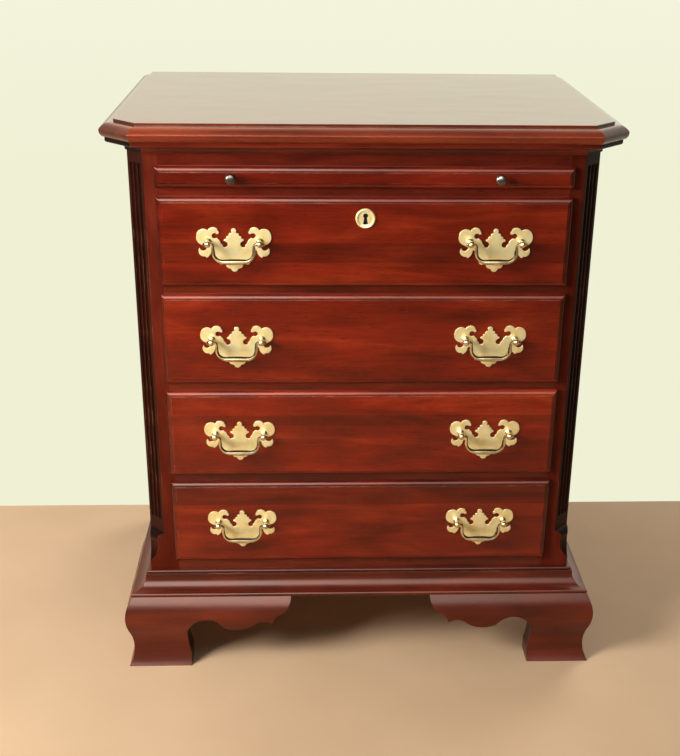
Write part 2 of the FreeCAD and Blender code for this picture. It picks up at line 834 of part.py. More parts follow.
def box_levels(drawer):
    """Heights of a drawer box: underside, under and top of its bottom panel, and top of its sides."""
    low = f"({OPENING_LOW[drawer]} + drawer_clearance)"
    panel = f"({low} + bottom_lift)"
    return low, panel, f"({panel} + drawer_bottom)", f"({OPENING_HIGH[drawer]} - drawer_side_drop)"


def make_drawer_box(drawer):
    low, panel, panel_top, high = box_levels(drawer)
    side = box("drawer_side", (BOX_INNER, INSET_HALF), (INSET_BACK, BOX_BACK), (low, high))
    groove = box("side_groove", (BOX_INNER, GROOVE), (INSET_BACK, BOX_BACK), (panel, panel_top))
    right = cut(f"{drawer}_side", side, groove)
    back = box("drawer_back", (f"-{BOX_INNER}", BOX_INNER), (f"{BOX_BACK} - drawer_stock", BOX_BACK),
               (panel_top, high))
    piece(f"{drawer}_box", group(f"{drawer}_box", right, mirrored("left_drawer_side", right), back))
    piece(f"{drawer}_bottom", box("drawer_bottom", (f"-{GROOVE}", GROOVE),
                                  (f"{INSET_BACK} - groove_depth", BOX_BACK), (panel, panel_top)))
    return box("front_groove", (f"-{GROOVE}", GROOVE), (f"{INSET_BACK} - groove_depth", INSET_BACK),
               (panel, panel_top))


def pull_places(drawer):
    """Middles of a drawer's two pulls, on the face of its front."""
    level = f"({MIDDLE[drawer]} + pull_lift)"
    return {"left": ("-(pull_spread / 2)", FACE, level), "right": ("(pull_spread / 2)", FACE, level)}


def post_places(x, y, z):
    """Axes of the two posts of a pull, at the depth of their shoulders."""
    return [(f"{x} - post_spacing / 2", y, z), (f"{x} + post_spacing / 2", y, z)]


KEYHOLE_LEVEL = f"({LIP_HIGH[TOP_DRAWER]} - escutcheon_drop)"
LOCK_TOP = f"({OPENING_HIGH[TOP_DRAWER]} - drawer_clearance)"


def keyhole(name, length, at):
    """Round top and flared slot, cut from front to back."""
    head = "keyhole_lift"
    outline = [
        ("-keyhole_neck", f"{head} - sqrt(keyhole_radius^2 - keyhole_neck^2)", None),
        ("-keyhole_flare", "-keyhole_drop", None),
        ("keyhole_flare", "-keyhole_drop", None),
        ("keyhole_neck", f"{head} - sqrt(keyhole_radius^2 - keyhole_neck^2)",
         "(keyhole_radius + sqrt(keyhole_radius^2 - keyhole_neck^2)) / keyhole_neck"),
    ]
    return prism(name, "XZ_Plane", outline, length, at)


def make_lock():
    """Lock let into the back of the top drawer's front. Its bolt rises into the rail above."""
    wide = "(lock_width / 2)"
    depth = (f"{INSET_BACK} - lock_depth", INSET_BACK)
    levels = (f"{LOCK_TOP} - lock_height", LOCK_TOP)
    recess = box("lock_recess", (f"-{wide}", wide), depth, levels)
    blank = box("lock_blank", (f"-{wide}", wide), depth, levels)
    channel_wide = "(bolt_width / 2 + bolt_clearance)"
    channel_deep = "(bolt_depth / 2 + bolt_clearance)"
    channel = box("bolt_channel", (f"-{channel_wide}", channel_wide),
                  (f"{BOLT_Y} - {channel_deep}", f"{BOLT_Y} + {channel_deep}"),
                  (f"{LOCK_TOP} - bolt_length - bolt_clearance", f"{LOCK_TOP}"))
    piece("lock_case", cut("lock_case", blank, channel))
    half = "(bolt_width / 2)"
    thick = "(bolt_depth / 2)"
    piece("lock_bolt", box("bolt", (f"-{half}", half), (f"{BOLT_Y} - {thick}", f"{BOLT_Y} + {thick}"),
                           (f"{LOCK_TOP} - bolt_length", LOCK_TOP)))
    front = f"({FACE} - escutcheon_rim)"
    disc = rod("escutcheon_disc", "y", ("0", front, KEYHOLE_LEVEL), "escutcheon_radius", "escutcheon_rim")
    dish = bar("escutcheon_hollow", DISH_SIDES, "y", ("0", front, KEYHOLE_LEVEL), "escutcheon_dish_radius",
               "escutcheon_rim - escutcheon_dish")
    opening = keyhole("escutcheon_keyhole", "4 * escutcheon_rim", ("0", FACE, KEYHOLE_LEVEL))
    piece("escutcheon", cut("escutcheon", disc, dish, opening))
    way = keyhole("front_keyhole", "2 * (lip_thickness + front_inset)", ("0", FACE, KEYHOLE_LEVEL))
    return [recess, way]


# Half of the plate's outline, from the top of the finial round the right wing to the tip of the drop.
# Across is a share of half the width. Up is a share of the rise above the posts or of the drop below them.
PLATE_HALF = [
    (0.000, 0.89), (0.066, 0.62), (0.264, 0.14), (0.202, -0.02), (0.294, -0.176), (0.484, 0.19),
    (0.625, 0.15), (0.600, 0.48), (0.409, 0.36), (0.430, 0.75), (0.492, 0.98), (0.640, 0.96),
    (0.690, 0.75), (0.818, 0.83), (0.938, 0.70), (1.000, 0.41), (0.848, -0.108), (0.730, -0.182),
    (0.775, -0.33), (0.923, -0.203), (0.960, -0.36), (0.743, -0.534), (0.640, -0.42), (0.572, -0.26),
    (0.426, -0.655), (0.380, -0.76), (0.229, -0.745), (0.215, -0.84), (0.000, -1.000),
]


def make_backplate():
    """Batwing plate with its back at y = 0 and its middle between the posts."""
    right = []
    for across, up in PLATE_HALF:
        height = "plate_rise" if up >= 0 else "plate_drop"
        right.append((f"{across} * plate_width / 2", f"{up} * {height}"))
    left = [(f"-({across})", up) for across, up in reversed(right[1:-1])]
    blank = prism("plate_blank", "XZ_Plane", straight(right + left), "plate_thickness",
                  at=("0", "-plate_thickness / 2", "0"))
    holes = []
    for x, y, z in post_places("0", "-plate_thickness", "0"):
        holes.append(bar("plate_hole", BRASS_SIDES, "y", (x, y, z), "post_shank_radius + hole_clearance",
                         "plate_thickness"))
    return cut("plate", blank, *holes)


def make_pull_post():
    """Post with a round-nosed, cross-bored eye, from the face of the plate at y = 0 back into the front."""
    shank = bar("post_shank", BRASS_SIDES, "y", ("0", "-post_standoff", "0"), "post_shank_radius",
                "post_standoff + plate_thickness + post_seat")
    nose = "(post_eye_radius / sqrt(2))"
    eye_outline = [
        (f"-{nose}", nose, QUARTER_ROUND),
        (f"-{nose}", f"-{nose}", None),
        (nose, f"-{nose}", None),
        (nose, nose, None),
    ]
    eye = prism("post_eye", "YZ_Plane", eye_outline, "post_eye_width", ("0", "-post_standoff", "0"))
    half_side = 180 / BRASS_SIDES
    bore = bar("post_bore", BRASS_SIDES, "x", ("-post_eye_width", "-post_standoff", "0"),
               f"(pin_radius + pin_clearance) / cos({half_side} deg)", "2 * post_eye_width", half_side)
    return cut("post", fuse("post_blank", shank, eye), bore)


def octagon_corners(centre, radius):
    """Corners of an octagon that stands on one of its flats."""
    corners = []
    for corner in range(BRASS_SIDES):
        angle = (corner + 0.5) * 360 / BRASS_SIDES
        corners.append((f"{centre} + {radius} * cos({angle} deg)", f"{radius} * sin({angle} deg)", None))
    return corners


def grip_taper(twist):
    """Square half of the grip, tapering from the middle of the bail, twisted about its own axis. Two of
    them share an octagonal one."""
    taper = doc.addObject("Part::Wedge", "grip_taper")
    flat = f"cos({180 / BRASS_SIDES} deg)"
    for side, sign in (("min", "-"), ("max", "")):
        for axis in "XZ":
            bind(taper, f"{axis}{side}", f"{sign}grip_radius * {flat}")
            bind(taper, f"{axis}2{side}", f"{sign}bail_radius * {flat}")
    bind(taper, "Ymin", "0")
    bind(taper, "Ymax", "grip_half")
    lengthwise = Rotation(Vector(0, 1, 0), Vector(1, 0, 0))
    turn = lengthwise.multiply(Rotation(Vector(0, 1, 0), twist))
    return place(taper, ("0", "0", "-bail_drop"), turn)


def make_bail():
    """Bail hanging from its pins on the X axis: two arms, rounded corners and a swelling grip."""
    half = "(bail_span / 2)"
    left = [(f"-{half}", "pin_radius")]
    for step in range(BAIL_BEND_STEPS + 1):
        angle = step * 90 / BAIL_BEND_STEPS
        left.append((f"bail_bend * (1 - cos({angle} deg)) - {half}",
                     f"bail_bend * (1 - sin({angle} deg)) - bail_drop"))
    right = [(f"-({across})", up) for across, up in reversed(left)]
    wire = doc.addObject("PartDesign::Body", "bail_wire")
    path = path_sketch(wire, "XZ_Plane", left + right)
    section = sketch(wire, "XY_Plane", octagon_corners(f"-{half}", "bail_radius"), "section")
    bind(section, "AttachmentOffset.Base.z", "pin_radius")
    pipe = wire.newObject("PartDesign::AdditivePipe", "bail_pipe")
    pipe.Profile = section
    pipe.Spine = path
    pipe.Transition = "Right corner"
    grip = common("bail_grip", grip_taper(0), grip_taper(360 / BRASS_SIDES))
    members = [wire, grip, mirrored("bail_left_grip", grip)]
    for start in ("-pin_reach", half):
        members.append(bar("bail_pin", BRASS_SIDES, "x", (start, "0", "0"), "pin_radius",
                           f"pin_reach - {half}"))
    return fuse("bail", *members)


def make_drawers():
    plate = make_backplate()
    post = make_pull_post()
    bail = make_bail()
    for drawer in DRAWERS:
        front = lipped_front(f"{drawer}_front", drawer)
        tools = [make_drawer_box(drawer)]
        plates = []
        posts = []
        for side, (x, y, z) in pull_places(drawer).items():
            plates.append(linked("plate_copy", plate, (x, y, z)))
            face = f"({y} - plate_thickness)"
            for at in post_places(x, face, z):
                posts.append(linked("post_copy", post, at))
                tools.append(bar("post_hole", BRASS_SIDES, "y", (at[0], FACE, z),
                                 "post_shank_radius + hole_clearance", "post_seat + hole_clearance"))
            piece(f"{drawer}_{side}_bail", linked("bail_copy", bail, (x, f"{face} - post_standoff", z)))
        if drawer == TOP_DRAWER:
            tools += make_lock()
        piece(f"{drawer}_front", cut(f"{drawer}_front_bored", front, *tools))
        piece(f"{drawer}_backplates", group(f"{drawer}_plates", *plates))
        piece(f"{drawer}_pull_posts", group(f"{drawer}_posts", *posts))


def write_parts():
    """Checks every object and writes each sub-part."""
    doc.recompute()
    for item in doc.Objects:
        if "Invalid" in item.State or "Error" in item.State:
            raise RuntimeError(f"{item.Label} failed: {item.State}")
    shapes = {item.Label: Part.getShape(item) for item in pieces}
    for label, shape in shapes.items():
        if shape.isNull() or not shape.isValid() or not shape.Solids:
            raise RuntimeError(f"{label} has no valid solid")
    os.makedirs("parts", exist_ok=True)
    for label, shape in shapes.items():
        shape.exportStep(f"parts/{label}.step")
    print(len(shapes), "sub-parts written")


make_top()
make_cornice()
make_base_moulding()
make_feet()
make_posts()
make_panels()
make_rails()
make_runners()
make_slide()
make_drawers()
write_parts()
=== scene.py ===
import json
import math
import bmesh
import bpy
from mathutils import Matrix, Vector


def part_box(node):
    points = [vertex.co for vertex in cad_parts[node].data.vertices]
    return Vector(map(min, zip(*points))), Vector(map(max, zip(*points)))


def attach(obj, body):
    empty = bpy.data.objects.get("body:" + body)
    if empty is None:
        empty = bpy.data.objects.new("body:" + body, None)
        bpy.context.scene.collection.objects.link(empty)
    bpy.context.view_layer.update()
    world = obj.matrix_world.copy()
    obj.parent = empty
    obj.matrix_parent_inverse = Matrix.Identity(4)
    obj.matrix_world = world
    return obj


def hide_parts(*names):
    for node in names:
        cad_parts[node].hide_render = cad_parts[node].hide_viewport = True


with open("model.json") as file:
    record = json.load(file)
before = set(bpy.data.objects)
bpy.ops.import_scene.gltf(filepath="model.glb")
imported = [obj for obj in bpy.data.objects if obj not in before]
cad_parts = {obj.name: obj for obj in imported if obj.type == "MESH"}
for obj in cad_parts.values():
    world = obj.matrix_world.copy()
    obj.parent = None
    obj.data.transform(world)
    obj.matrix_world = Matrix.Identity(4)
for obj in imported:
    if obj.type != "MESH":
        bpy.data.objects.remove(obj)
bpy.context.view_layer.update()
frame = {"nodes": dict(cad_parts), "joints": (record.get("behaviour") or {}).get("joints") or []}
nodes = frame["nodes"]

MM = 0.001
DRAWERS = ("drawer_1", "drawer_2", "drawer_3", "drawer_4")
SIDES = ("left", "right")


# Tools for materials

EDGE_SAMPLES = 4
HOLLOW_SAMPLES = 4
BUMP_STRENGTH = 0.5

# How far a normal points up where a face starts to count as level, and where it counts in full
LEVEL_LIFT = (0.90, 0.99)


class Shader:
    """A node material that is put together step by step."""

    def __init__(self, name):
        self.material = bpy.data.materials.new(name)
        self.material.use_nodes = True
        self.tree = self.material.node_tree
        self.shader = self.tree.nodes["Principled BSDF"]

    def add(self, kind, **settings):
        """Adds a node with its settings."""
        node = self.tree.nodes.new(kind)
        for key, value in settings.items():
            setattr(node, key, value)
        return node

    def link(self, source, target):
        """Links an output to an input."""
        self.tree.links.new(source, target)

    def feed(self, source, socket):
        """Links a source to a socket of the surface."""
        self.link(source, self.shader.inputs[socket])

    def set(self, **values):
        """Sets sockets of the surface that are the same all over."""
        for name, value in values.items():
            self.shader.inputs[name.replace("_", " ")].default_value = value

    def noise(self, waves, shift=(0, 0, 0), detail=3.0, distortion=0.0):
        """Cloudy values from 0 to 1, with so many waves per metre along each axis."""
        coordinates = self.add("ShaderNodeTexCoord")
        mapping = self.add("ShaderNodeMapping")
        mapping.inputs["Scale"].default_value = waves
        mapping.inputs["Location"].default_value = shift
        texture = self.add("ShaderNodeTexNoise")
        texture.inputs["Scale"].default_value = 1.0
        texture.inputs["Detail"].default_value = detail
        texture.inputs["Distortion"].default_value = distortion
        self.link(coordinates.outputs["Object"], mapping.inputs["Vector"])
        self.link(mapping.outputs["Vector"], texture.inputs["Vector"])
        return texture.outputs["Fac"]

    def ramp(self, value, stops, steps=False):
        """Colours along a value, from (position, colour) stops, blended or in steps."""
        node = self.add("ShaderNodeValToRGB")
        node.color_ramp.interpolation = "CONSTANT" if steps else "LINEAR"
        points = node.color_ramp.elements
        while len(points) < len(stops):
            points.new(0.5)
        for point, (position, colour) in zip(points, stops):
            point.position = position
            point.color = tuple(colour) + (1,)
        self.link(value, node.inputs["Fac"])
        return node.outputs["Color"]

    def shade(self, value, stops, steps=False):
        """Greys along a value, from (position, lightness) stops."""
        greys = [(position, (lightness,) * 3) for position, lightness in stops]
        return self.ramp(value, greys, steps)

    def blend(self, first, second, factor, kind="MIX"):
        """Mixes two colours by a factor. Each of the three is a socket or a fixed value."""
        node = self.add("ShaderNodeMix", data_type="RGBA", blend_type=kind)
        for source, name in ((first, "A"), (second, "B"), (factor, "Factor")):
            socket = node.inputs[name]
            if isinstance(source, (float, tuple)):
                socket.default_value = source
            else:
                self.link(source, socket)
        return node.outputs["Result"]

    def times(self, first, second):
        """Multiplies two colours."""
        return self.blend(first, second, 1.0, "MULTIPLY")

    def between(self, value, low, high, start=0.0, end=1.0):
        """A value that goes from low to high as another goes from start to end."""
        node = self.add("ShaderNodeMapRange")
        for socket, number in (("From Min", start), ("From Max", end), ("To Min", low), ("To Max", high)):
            node.inputs[socket].default_value = number
        self.link(value, node.inputs["Value"])
        return node.outputs["Result"]

    def part(self, vector, axis):
        """One part of a vector."""
        node = self.add("ShaderNodeSeparateXYZ")
        self.link(vector, node.inputs["Vector"])
        return node.outputs[axis]

    def place(self, axis):
        """Place along an axis of the shared frame, in metres."""
        return self.part(self.add("ShaderNodeTexCoord").outputs["Object"], axis)

    def height(self, node_name):
        """Height within a node's box, from 0 to 1."""
        low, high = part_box(node_name)
        return self.between(self.place("Z"), 0.0, 1.0, low[2], high[2])

    def behind_front(self, node_name, step):
        """0 on the front of a node's box and 1 from a step behind it."""
        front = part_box(node_name)[0][1]
        return self.between(self.place("Y"), 0.0, 1.0, front, front + step * MM)

    def facing_up(self):
        """1 on level faces that look up and 0 on the rest."""
        lift = self.part(self.add("ShaderNodeNewGeometry").outputs["True Normal"], "Z")
        return self.between(lift, 0.0, 1.0, *LEVEL_LIFT)

    def inside_bail_shade_mask(self):
        """How squarely the surface of a hanging bail faces the space that it rings, by its own normal. It
        sets where shade is painted on the bail.
        """
        normal = self.add("ShaderNodeTexCoord").outputs["Normal"]
        place = self.add("ShaderNodeTexCoord").outputs["Generated"]
        node = self.add("ShaderNodeMath", operation="MULTIPLY_ADD")
        self.link(self.part(normal, "X"), node.inputs[0])
        self.link(self.between(self.part(place, "X"), 1.0, -1.0), node.inputs[1])
        self.link(self.part(normal, "Z"), node.inputs[2])
        return node.outputs["Value"]

    def end_grain(self, axis):
        """How squarely the surface cuts across the grain, from 0 to 1."""
        across = self.part(self.add("ShaderNodeNewGeometry").outputs["Normal"], axis.upper())
        node = self.add("ShaderNodeMath", operation="ABSOLUTE")
        self.link(across, node.inputs[0])
        return node.outputs["Value"]

    def soften(self, radius, height, depth):
        """Rounds the edges a little and roughens the surface. Returns 1 on flats and less on an edge."""
        rounding = self.add("ShaderNodeBevel", samples=EDGE_SAMPLES)
        rounding.inputs["Radius"].default_value = radius * MM
        bump = self.add("ShaderNodeBump")
        bump.inputs["Distance"].default_value = depth * MM
        bump.inputs["Strength"].default_value = BUMP_STRENGTH
        self.link(height, bump.inputs["Height"])
        self.link(rounding.outputs["Normal"], bump.inputs["Normal"])
        self.feed(bump.outputs["Normal"], "Normal")
        face = self.add("ShaderNodeNewGeometry")
        turn = self.add("ShaderNodeVectorMath", operation="DOT_PRODUCT")
        self.link(rounding.outputs["Normal"], turn.inputs[0])
        self.link(face.outputs["Normal"], turn.inputs[1])
        return turn.outputs["Value"]

    def hollow(self, reach):
        """Openness of the surface, from 0 in a narrow corner to 1 on a flat."""
        node = self.add("ShaderNodeAmbientOcclusion", samples=HOLLOW_SAMPLES, only_local=True)
        node.inputs["Distance"].default_value = reach * MM
        return node.outputs["AO"]


# Wood

# Finishes, from the polished top to the bare inside, with the rounding of their edges in millimetres
POLISHED = {"rough": 0.22, "specular": 0.5, "edge": 1.0, "cloud": 0.13}
SATIN = {"rough": 0.21, "specular": 0.5, "edge": 1.0, "cloud": 0.27}
RUBBED = {"rough": 0.30, "specular": 0.5, "edge": 1.0, "cloud": 0.27}
DULL = {"rough": 0.34, "specular": 0.08, "edge": 1.0, "cloud": 0.24}
BARE = {"rough": 0.62, "specular": 0.25, "edge": 0.5, "cloud": 0.07}
SHEEN_TINT = (1.0, 0.76, 0.62, 1)
TOP_COAT = 1.0
COAT_ROUGHNESS = 0.10

# Tones of the wood, as the dark, middle and pale tone of the figure. Most are stains; the pale top tones are
# painted sheen and the near-black cant tones are painted shade
RED = ((0.110, 0.0058, 0.0012), (0.175, 0.0095, 0.0018), (0.270, 0.0240, 0.0045))
# Paler tones for faces of a polished panel that look up: painted sheen
TOP_PAINTED_SHEEN = ((0.240, 0.0500, 0.0060), (0.310, 0.0700, 0.0100), (0.370, 0.0950, 0.0150))
AMBER = ((0.160, 0.0170, 0.0042), (0.230, 0.0280, 0.0070), (0.320, 0.0460, 0.0120))
BROWN = ((0.070, 0.0042, 0.0010), (0.120, 0.0075, 0.0016), (0.180, 0.0160, 0.0034))
RUSSET = ((0.062, 0.0050, 0.0015), (0.102, 0.0090, 0.0026), (0.152, 0.0165, 0.0050))
UMBER = ((0.062, 0.0064, 0.0024), (0.100, 0.0115, 0.0045), (0.150, 0.0190, 0.0078))
# Near-black tones for the cants: painted shade on the faces that turn away from the light
CANT_PAINTED_SHADE = ((0.014, 0.0020, 0.0007), (0.024, 0.0032, 0.0011), (0.040, 0.0062, 0.0020))
RAW = ((0.34, 0.20, 0.095), (0.47, 0.31, 0.16), (0.58, 0.41, 0.23))
WORN = (0.42, 0.17, 0.075, 1)
FIGURE_STOPS = (0.30, 0.50, 0.72)

# Patterns, as waves per metre along and across the grain, fineness and waver
FIGURE = (4.5, 26, 4.0, 0.9)
CLOUD = (12, 34, 2.0, 0.0)
FIBRE = (16, 520, 3.0, 0.0)
PORES = (80, 1400, 1.0, 0.0)
RUBS = (34, 34, 3.0, 0.0)

# Greys for end grain, fibres, pores and corners, as (value, lightness) stops. The end-grain grey is partly
# darker stain on end grain and partly painted shade on faces that turn sideways; the corner grey is painted
# shade
END_GRAIN_STAIN_AND_SHADE = ((0.08, 1.0), (0.50, 0.30))
FIBRE_SHADE = ((0.30, 0.86), (0.70, 1.10))
PORE_SHADE = ((0.30, 0.60), (0.38, 1.0))
CORNER_PAINTED_SHADE = ((0.35, 0.18), (0.92, 1.0))

# Wear, by how flat the surface is and by where it was rubbed, as (value, share) stops
EDGE_WEAR = ((0.84, 1.0), (0.97, 0.0))
RUB_WEAR = ((0.52, 0.0), (0.66, 0.8))

# Values of the cloud between which it lightens, and change of roughness from its dark to its light
CLOUD_SPAN = (0.30, 0.70)
CLOUD_ROUGHNESS = (-0.06, 0.08)

# Reach of the painted shade in corners, depth of the pores and step from a post's front to its cant, in
# millimetres
PAINTED_SHADE_REACH = 6
PORE_DEPTH = 0.02
CANT_STEP = 0.3


def grained(look, axis, shift, pattern):
    """Values of a pattern in wood whose grain runs along an axis."""
    along, across, fineness, waver = pattern
    waves = [across] * 3
    waves["xyz".index(axis)] = along
    return look.noise(waves, shift, fineness, waver)


def stain(look, figure, tones):
    """The figure in the dark, middle and pale tone of a stain."""
    return look.ramp(figure, list(zip(FIGURE_STOPS, tones)))


def polish_top_with_painted_sheen(look, figure, colour):
    """Coats the faces that look up with clear lacquer and paints them paler as painted sheen. Returns the
    colour with that painted sheen in it.
    """
    up = look.facing_up()
    look.feed(look.between(up, 0.0, TOP_COAT), "Coat Weight")
    return look.blend(colour, stain(look, figure, TOP_PAINTED_SHEEN), up)


def wood(name, axis, tones, shift, finish=SATIN, node=None, boards=(), cants=None):
    """Wood with its grain along an axis, and where asked with glued boards or with cants painted darker as
    painted shade.
    """
    look = Shader(name)
    figure = grained(look, axis, shift, FIGURE)
    cloud = grained(look, axis, shift, CLOUD)
    fibre = grained(look, axis, shift, FIBRE)
    pores = grained(look, axis, shift, PORES)
    rubs = grained(look, axis, shift, RUBS)
    colour = stain(look, figure, tones)
    # Painted shade: the cants behind a post's front are painted near-black
    if cants:
        colour = look.blend(colour, stain(look, figure, cants), look.behind_front(node, CANT_STEP))
    # Painted sheen: faces of a polished panel that look up are painted paler
    if finish is POLISHED:
        colour = polish_top_with_painted_sheen(look, figure, colour)
    cloud_shade = list(zip(CLOUD_SPAN, (1 - finish["cloud"], 1 + finish["cloud"])))
    # End grain darker, partly from stain and partly as painted shade on faces that turn sideways
    colour = look.times(colour, look.shade(look.end_grain(axis), END_GRAIN_STAIN_AND_SHADE))
    colour = look.times(colour, look.shade(cloud, cloud_shade))
    colour = look.times(colour, look.shade(fibre, FIBRE_SHADE))
    colour = look.times(colour, look.shade(pores, PORE_SHADE))
    if boards:
        colour = look.times(colour, look.shade(look.height(node), boards, steps=True))
    # Painted shade: darker in corners and between parts
    colour = look.times(colour, look.shade(look.hollow(PAINTED_SHADE_REACH), CORNER_PAINTED_SHADE))
    flatness = look.soften(finish["edge"], pores, PORE_DEPTH)
    wear = look.times(look.shade(flatness, EDGE_WEAR), look.shade(rubs, RUB_WEAR))
    look.feed(look.blend(colour, WORN, wear), "Base Color")
    smooth, rough = (finish["rough"] + change for change in CLOUD_ROUGHNESS)
    look.feed(look.between(cloud, smooth, rough), "Roughness")
    look.set(Specular_IOR_Level=finish["specular"], Specular_Tint=SHEEN_TINT, Coat_Roughness=COAT_ROUGHNESS)
    return look.material


# Boards glued up in the fronts, as the height where each starts and how light it is
FRONT_BOARDS = {
    "drawer_1_front": ((0.0, 1.05), (0.27, 0.72), (0.50, 1.0)),
    "drawer_2_front": ((0.0, 0.98), (0.20, 1.10), (0.66, 1.04)),
    "drawer_3_front": ((0.0, 1.08), (0.60, 0.88), (0.72, 1.22)),
    "drawer_4_front": ((0.0, 0.94), (0.72, 0.64)),
}

# Nodes in stained wood, by the run of their grain
ACROSS = ("cornice_front", "frieze_rail", "slide_rail", "drawer_rails", "bottom_rail")
UPRIGHT = ("left_side_panel", "right_side_panel")
BASE_ACROSS = ("base_moulding_front", "front_foot_faces")
BASE_FRONT_TO_BACK = ("base_moulding_sides", "front_foot_returns", "rear_feet")
CORNER_POSTS = ("left_corner_post", "right_corner_post")
POLISHED_PANELS = ("top_panel", "slide_panel")

# Nodes in bare wood, by the run of their grain
BARE_ACROSS = ("case_bottom", "rear_foot_braces") + tuple(f"{drawer}_bottom" for drawer in DRAWERS)
BARE_UPRIGHT = ("back_panel", "foot_glue_blocks")
BARE_FRONT_TO_BACK = ("drawer_runners", "drawer_guides", "slide_runners", "slide_guides",
                      "slide_kickers") + tuple(f"{drawer}_box" for drawer in DRAWERS)

# Shift of the patterns from one stained node to the next, and in all bare wood
NEXT_SHIFT = (3.7, 1.3, 2.9)
BARE_SHIFT = (5, 2, 1)


def dress(name, material):
    """Gives a node of the frame its material."""
    mesh = nodes[name].data
    mesh.materials.clear()
    mesh.materials.append(material)


def dress_show_wood():
    """Gives every stained node a figure of its own."""
    looks = [(name, "x", BROWN, {}) for name in ACROSS]
    looks += [(name, "z", BROWN, {}) for name in UPRIGHT]
    looks += [(name, "x", RUSSET, {"finish": RUBBED}) for name in BASE_ACROSS]
    looks += [(name, "y", RUSSET, {"finish": RUBBED}) for name in BASE_FRONT_TO_BACK]
    looks += [("cornice_sides", "y", BROWN, {})]
    # The cants of the posts and of the cornice are painted near-black as painted shade
    looks += [(name, "z", UMBER, {"node": name, "cants": CANT_PAINTED_SHADE, "finish": DULL}) for name in CORNER_POSTS]
    looks += [("cornice_cants", "x", CANT_PAINTED_SHADE, {"finish": DULL}), ("slide_front", "x", RED, {})]
    looks += [(name, "x", AMBER, {"finish": POLISHED}) for name in POLISHED_PANELS]
    looks += [(name, "x", RED, {"node": name, "boards": boards}) for name, boards in FRONT_BOARDS.items()]
    for index, (name, axis, tones, extra) in enumerate(looks):
        shift = [index * step for step in NEXT_SHIFT]
        dress(name, wood(f"{name}_wood", axis, tones, shift, **extra))


def dress_bare_wood():
    """Gives the inside and the back unfinished wood."""
    for axis, names in (("x", BARE_ACROSS), ("y", BARE_FRONT_TO_BACK), ("z", BARE_UPRIGHT)):
        material = wood(f"bare_wood_{axis}", axis, RAW, BARE_SHIFT, BARE)
        for name in names:
            dress(name, material)


# Metal

# Kinds of metal, each with its dark, middle and bright tone
PLATE_BRASS = {"tones": ((0.84, 0.65, 0.26), (0.92, 0.77, 0.37), (0.96, 0.86, 0.49)),
               "rough": 0.38, "metallic": 0.5}
BAIL_BRASS = {"tones": ((0.53, 0.40, 0.20), (0.70, 0.56, 0.32), (0.82, 0.70, 0.46)),
              "rough": 0.22, "metallic": 1.0}
PEWTER = {"tones": ((0.10, 0.085, 0.07), (0.20, 0.175, 0.145), (0.30, 0.27, 0.23)),
          "rough": 0.26, "metallic": 1.0}
IRON = {"tones": ((0.004, 0.0038, 0.0036), (0.008, 0.0075, 0.007), (0.014, 0.013, 0.012)),
        "rough": 0.5, "metallic": 0.0}
STEEL = {"tones": ((0.25, 0.23, 0.21), (0.36, 0.34, 0.31), (0.45, 0.43, 0.40)),
         "rough": 0.4, "metallic": 1.0}

# Patterns, as waves per metre along each axis, and their fineness
PATCH_WAVES = (70, 70, 70)
PATCH_FINENESS = 4.0
SCRATCH_WAVES = (900, 900, 120)
SCRATCH_FINENESS = 2.0

# Where the tones lie along the patches, how the patches change the roughness, dark tarnish in corners and
# painted shade inside bails
PATCH_STOPS = (0.32, 0.50, 0.68)
PATCH_ROUGHNESS = (0.10, -0.06)
CORNER_SHADE = ((0.20, 0.45), (0.70, 1.0))
BAIL_PAINTED_SHADE = ((0.12, 1.0), (0.55, 0.06))

# Reach of the dark in corners, rounding of the edges and depth of the scratches, in millimetres
CORNER_REACH = 4
METAL_EDGE = 0.25
SCRATCH_DEPTH = 0.02


def metal(name, kind, bail=False):
    """Metal that is tarnished in patches and in the corners, with painted shade on the inside of a bail."""
    look = Shader(name)
    patches = look.noise(PATCH_WAVES, detail=PATCH_FINENESS)
    scratches = look.noise(SCRATCH_WAVES, detail=SCRATCH_FINENESS)
    colour = look.ramp(patches, list(zip(PATCH_STOPS, kind["tones"])))
    colour = look.times(colour, look.shade(look.hollow(CORNER_REACH), CORNER_SHADE))
    if bail:
        # Painted shade: the faces of the bail that look inward are painted dark
        colour = look.times(colour, look.shade(look.inside_bail_shade_mask(), BAIL_PAINTED_SHADE))
    look.soften(METAL_EDGE, scratches, SCRATCH_DEPTH)
    look.feed(colour, "Base Color")
    rough, smooth = (kind["rough"] + change for change in PATCH_ROUGHNESS)
    look.feed(look.between(patches, rough, smooth), "Roughness")
    look.set(Metallic=kind["metallic"])
    return look.material


def dress_lock():
    """Gives the lock a dark iron case and a steel bolt."""
    dress("lock_case", metal("lock_iron", IRON))
    dress("lock_bolt", metal("lock_steel", STEEL))


# Tools for shapes. Outlines and profiles are in millimetres, places in metres

# Angle in degrees from which an edge stays sharp
SHARP_ANGLE = 40

# Steps round a ring, a rod's section and a bent edge
RING_STEPS = 64
ROD_STEPS = 16
BEND_STEPS = 8


def finish_piece(obj, material, body, node):
    """Dresses a piece, hangs it on its body and lets it stand for its node."""
    obj.data.materials.clear()
    obj.data.materials.append(material)
    for face in obj.data.polygons:
        face.use_smooth = True
    obj.data.set_sharp_from_angle(angle=math.radians(SHARP_ANGLE))
    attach(obj, body)
    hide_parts(node)


def mesh_piece(name, shape):
    """Makes an object of a shape whose faces all look outwards."""
    mesh = bpy.data.meshes.new(name)
    bmesh.ops.recalc_face_normals(shape, faces=shape.faces)
    shape.to_mesh(mesh)
    shape.free()
    obj = bpy.data.objects.new(name, mesh)
    bpy.context.collection.objects.link(obj)
    return obj


